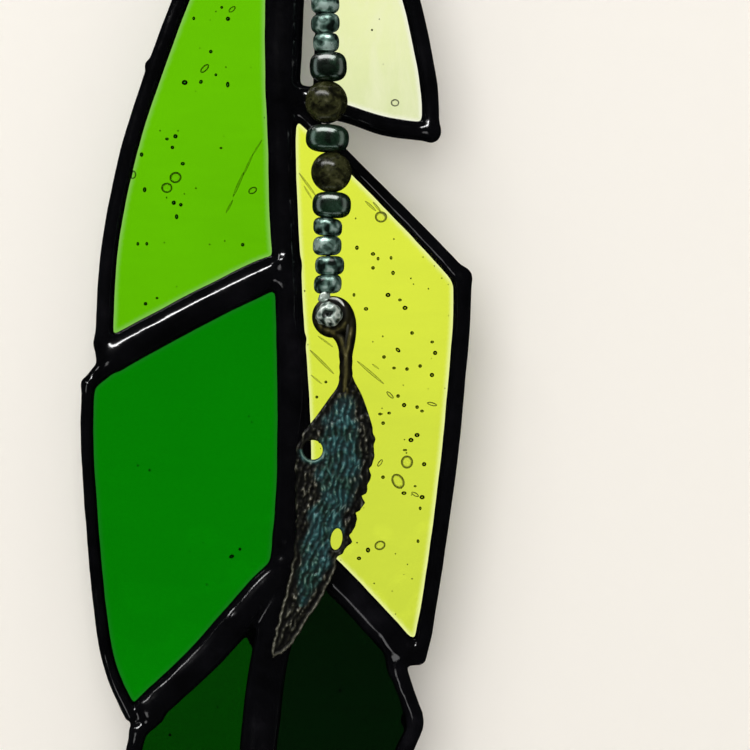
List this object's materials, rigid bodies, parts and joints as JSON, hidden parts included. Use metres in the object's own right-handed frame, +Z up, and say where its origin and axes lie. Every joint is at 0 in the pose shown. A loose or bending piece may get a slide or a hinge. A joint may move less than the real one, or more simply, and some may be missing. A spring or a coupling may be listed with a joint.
{
  "type": "stained glass feather suncatcher",
  "caption": "Hanging feather of coloured glass panes in black solder, with a wire ring at its quill and a bead strand and metal feather charm in front; catches light in a window.",
  "frame": {"origin": "inside top of the hanging ring, where it hangs on a hook", "axes": "+Z up, +X to the right seen from the front, front towards -Y; the glass lies in the XZ plane with its middle at y = 0"},
  "size_m": [0.0543, 0.0129, 0.2016],
  "materials": {
    "solder": "tin solder with a glossy black patina",
    "glass_lime": "clear lime art glass with small seed bubbles",
    "glass_green": "clear green art glass",
    "glass_dark_green": "dark green art glass",
    "glass_pale": "pale wispy cream-yellow art glass",
    "glass_yellow": "clear yellow art glass with many seed bubbles",
    "glass_deep_green": "very dark green art glass",
    "ring_wire": "tinned wire with black patina",
    "bead_wire": "bright craft wire",
    "seed_bead": "grey-teal glass with a mottled silvery lustre",
    "barrel_bead": "dark gunmetal green glass, glossy",
    "stone_bead": "polished dark brown banded stone",
    "end_bead": "silver-lustre glass",
    "charm_metal": "dark bronze with teal verdigris patina"
  },
  "bodies": {
    "root": {"solder_frame": "solder", "glass_lime": "glass_lime", "glass_green": "glass_green", "glass_dark_green": "glass_dark_green", "glass_pale": "glass_pale", "glass_yellow": "glass_yellow", "glass_deep_green": "glass_deep_green", "hanging_ring": "ring_wire", "bead_wire": "bead_wire", "seed_bead_01": "seed_bead", "seed_bead_02": "seed_bead", "seed_bead_03": "seed_bead", "seed_bead_04": "seed_bead", "seed_bead_05": "seed_bead", "seed_bead_06": "seed_bead", "seed_bead_07": "seed_bead", "seed_bead_08": "seed_bead", "seed_bead_09": "seed_bead", "seed_bead_10": "seed_bead", "seed_bead_11": "seed_bead", "seed_bead_12": "seed_bead", "seed_bead_13": "seed_bead", "seed_bead_14": "seed_bead", "seed_bead_15": "seed_bead", "seed_bead_16": "seed_bead", "seed_bead_17": "seed_bead", "seed_bead_18": "seed_bead", "seed_bead_19": "seed_bead", "seed_bead_20": "seed_bead", "seed_bead_21": "seed_bead", "seed_bead_22": "seed_bead", "seed_bead_23": "seed_bead", "seed_bead_24": "seed_bead", "seed_bead_25": "seed_bead", "barrel_bead_1": "barrel_bead", "barrel_bead_2": "barrel_bead", "barrel_bead_3": "barrel_bead", "stone_bead_1": "stone_bead", "stone_bead_2": "stone_bead", "end_bead": "end_bead", "feather_charm": "charm_metal"}
  },
  "joints": []
}
